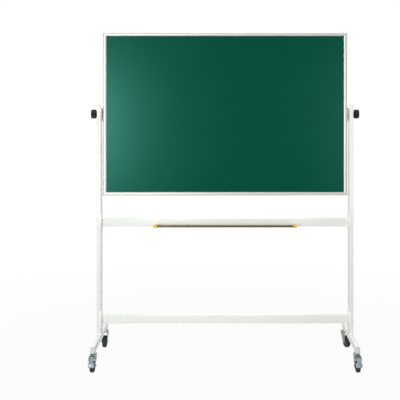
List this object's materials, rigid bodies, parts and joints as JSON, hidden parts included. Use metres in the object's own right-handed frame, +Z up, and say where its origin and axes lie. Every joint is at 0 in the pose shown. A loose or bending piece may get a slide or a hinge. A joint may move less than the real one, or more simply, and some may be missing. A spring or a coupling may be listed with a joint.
{
  "type": "pivoting chalkboard",
  "caption": "Two-sided pivoting chalkboard on a mobile stand, green chalk face in front and white marker face behind, with clamping knobs, chalk tray and braked casters.",
  "frame": {"origin": "on the floor, at the centre of the footprint of the whole object", "axes": "+Z up; +X to the right as seen from the green chalk face, along the pivot axis; +Y from the chalk face towards the white marker face"},
  "size_m": [1.6466, 0.5506, 2],
  "materials": {
    "chalk_enamel": "matt green vitreous enamel on steel, with a soft sheen",
    "marker_enamel": "glossy white vitreous enamel on steel",
    "core_board": "raw particle board, hidden between the sheets",
    "anodised_aluminium": "satin silver anodised extrusion",
    "powder_coat": "white powder coat with a fine orange-peel surface",
    "grey_plastic": "pale grey moulded polyethylene",
    "black_plastic": "black moulded nylon with a slight sheen",
    "nylon": "natural nylon",
    "zinc_steel": "bright zinc-plated pressed steel",
    "bronze_anodised": "olive-bronze anodised extrusion",
    "yellow_plastic": "yellow-orange moulded plastic",
    "wheel_rubber": "dark grey moulded rubber",
    "wheel_plastic": "grey moulded polypropylene"
  },
  "bodies": {
    "stand": {"post_left": "powder_coat", "post_right": "powder_coat", "post_cap_left": "grey_plastic", "post_cap_right": "grey_plastic", "foot_left": "powder_coat", "foot_right": "powder_coat", "foot_cap_front_left": "grey_plastic", "foot_cap_rear_left": "grey_plastic", "foot_cap_front_right": "grey_plastic", "foot_cap_rear_right": "grey_plastic", "crossbar_upper": "powder_coat", "crossbar_lower": "powder_coat", "bracket_upper_left": "powder_coat", "bracket_upper_right": "powder_coat", "bracket_lower_left": "powder_coat", "bracket_lower_right": "powder_coat", "friction_washer_left": "nylon", "friction_washer_right": "nylon", "pivot_bush_left": "zinc_steel", "pivot_bush_right": "zinc_steel", "chalk_tray": "bronze_anodised", "tray_cap_left": "yellow_plastic", "tray_cap_right": "yellow_plastic", "caster_head_front_left": "zinc_steel", "caster_head_front_right": "zinc_steel", "caster_head_rear_left": "zinc_steel", "caster_head_rear_right": "zinc_steel"},
    "board": {"board_core": "core_board", "chalk_face": "chalk_enamel", "marker_face": "marker_enamel", "frame_left": "anodised_aluminium", "frame_top": "anodised_aluminium", "frame_right": "anodised_aluminium", "frame_bottom": "anodised_aluminium", "pivot_flange_left": "anodised_aluminium", "pivot_flange_right": "anodised_aluminium", "index_disc_left": "anodised_aluminium", "index_disc_right": "anodised_aluminium", "pivot_stud_left": "zinc_steel", "pivot_stud_right": "zinc_steel"},
    "knob_left": {"knob_left": "black_plastic"},
    "knob_right": {"knob_right": "black_plastic"},
    "swivel_front_left": {"caster_fork_front_left": "zinc_steel", "axle_front_left": "zinc_steel"},
    "swivel_front_right": {"caster_fork_front_right": "zinc_steel", "axle_front_right": "zinc_steel"},
    "swivel_rear_left": {"caster_fork_rear_left": "zinc_steel", "axle_rear_left": "zinc_steel"},
    "swivel_rear_right": {"caster_fork_rear_right": "zinc_steel", "axle_rear_right": "zinc_steel"},
    "wheel_front_left": {"wheel_hub_front_left": "wheel_plastic", "tyre_front_left": "wheel_rubber"},
    "wheel_front_right": {"wheel_hub_front_right": "wheel_plastic", "tyre_front_right": "wheel_rubber"},
    "wheel_rear_left": {"wheel_hub_rear_left": "wheel_plastic", "tyre_rear_left": "wheel_rubber"},
    "wheel_rear_right": {"wheel_hub_rear_right": "wheel_plastic", "tyre_rear_right": "wheel_rubber"},
    "brake_front_left": {"brake_pedal_front_left": "zinc_steel"},
    "brake_front_right": {"brake_pedal_front_right": "zinc_steel"}
  },
  "joints": [
    {"name": "board_turn", "type": "hinge", "parent": "stand", "child": "board", "pos_m": [0, 0.02196, 1.5], "axis": [1, 0, 0], "continuous": true},
    {"name": "knob_left_turn", "type": "hinge", "parent": "board", "child": "knob_left", "pos_m": [-0.79, 0.02196, 1.5], "axis": [-1, 0, 0], "range_deg": [0, 270]},
    {"name": "knob_right_turn", "type": "hinge", "parent": "board", "child": "knob_right", "pos_m": [0.79, 0.02196, 1.5], "axis": [1, 0, 0], "range_deg": [0, 270]},
    {"name": "swivel_front_left_turn", "type": "hinge", "parent": "stand", "child": "swivel_front_left", "pos_m": [-0.7725, -0.19804, 0.1], "axis": [0, 0, 1], "continuous": true},
    {"name": "swivel_front_right_turn", "type": "hinge", "parent": "stand", "child": "swivel_front_right", "pos_m": [0.7725, -0.19804, 0.1], "axis": [0, 0, 1], "continuous": true},
    {"name": "swivel_rear_left_turn", "type": "hinge", "parent": "stand", "child": "swivel_rear_left", "pos_m": [-0.7725, 0.24196, 0.1], "axis": [0, 0, 1], "continuous": true},
    {"name": "swivel_rear_right_turn", "type": "hinge", "parent": "stand", "child": "swivel_rear_right", "pos_m": [0.7725, 0.24196, 0.1], "axis": [0, 0, 1], "continuous": true},
    {"name": "wheel_front_left_spin", "type": "hinge", "parent": "swivel_front_left", "child": "wheel_front_left", "pos_m": [-0.7725, -0.22304, 0.0375], "axis": [1, 0, 0], "continuous": true},
    {"name": "wheel_front_right_spin", "type": "hinge", "parent": "swivel_front_right", "child": "wheel_front_right", "pos_m": [0.7725, -0.22304, 0.0375], "axis": [1, 0, 0], "continuous": true},
    {"name": "wheel_rear_left_spin", "type": "hinge", "parent": "swivel_rear_left", "child": "wheel_rear_left", "pos_m": [-0.7725, 0.21696, 0.0375], "axis": [1, 0, 0], "continuous": true},
    {"name": "wheel_rear_right_spin", "type": "hinge", "parent": "swivel_rear_right", "child": "wheel_rear_right", "pos_m": [0.77981, 0.21805, 0.0375], "axis": [0.9563, 0.2924, 0], "continuous": true},
    {"name": "brake_front_left_press", "type": "hinge", "parent": "swivel_front_left", "child": "brake_front_left", "pos_m": [-0.7725, -0.22465, 0.08347], "axis": [1, 0, 0], "range_deg": [0, 12]},
    {"name": "brake_front_right_press", "type": "hinge", "parent": "swivel_front_right", "child": "brake_front_right", "pos_m": [0.7725, -0.22465, 0.08347], "axis": [1, 0, 0], "range_deg": [0, 12]}
  ]
}
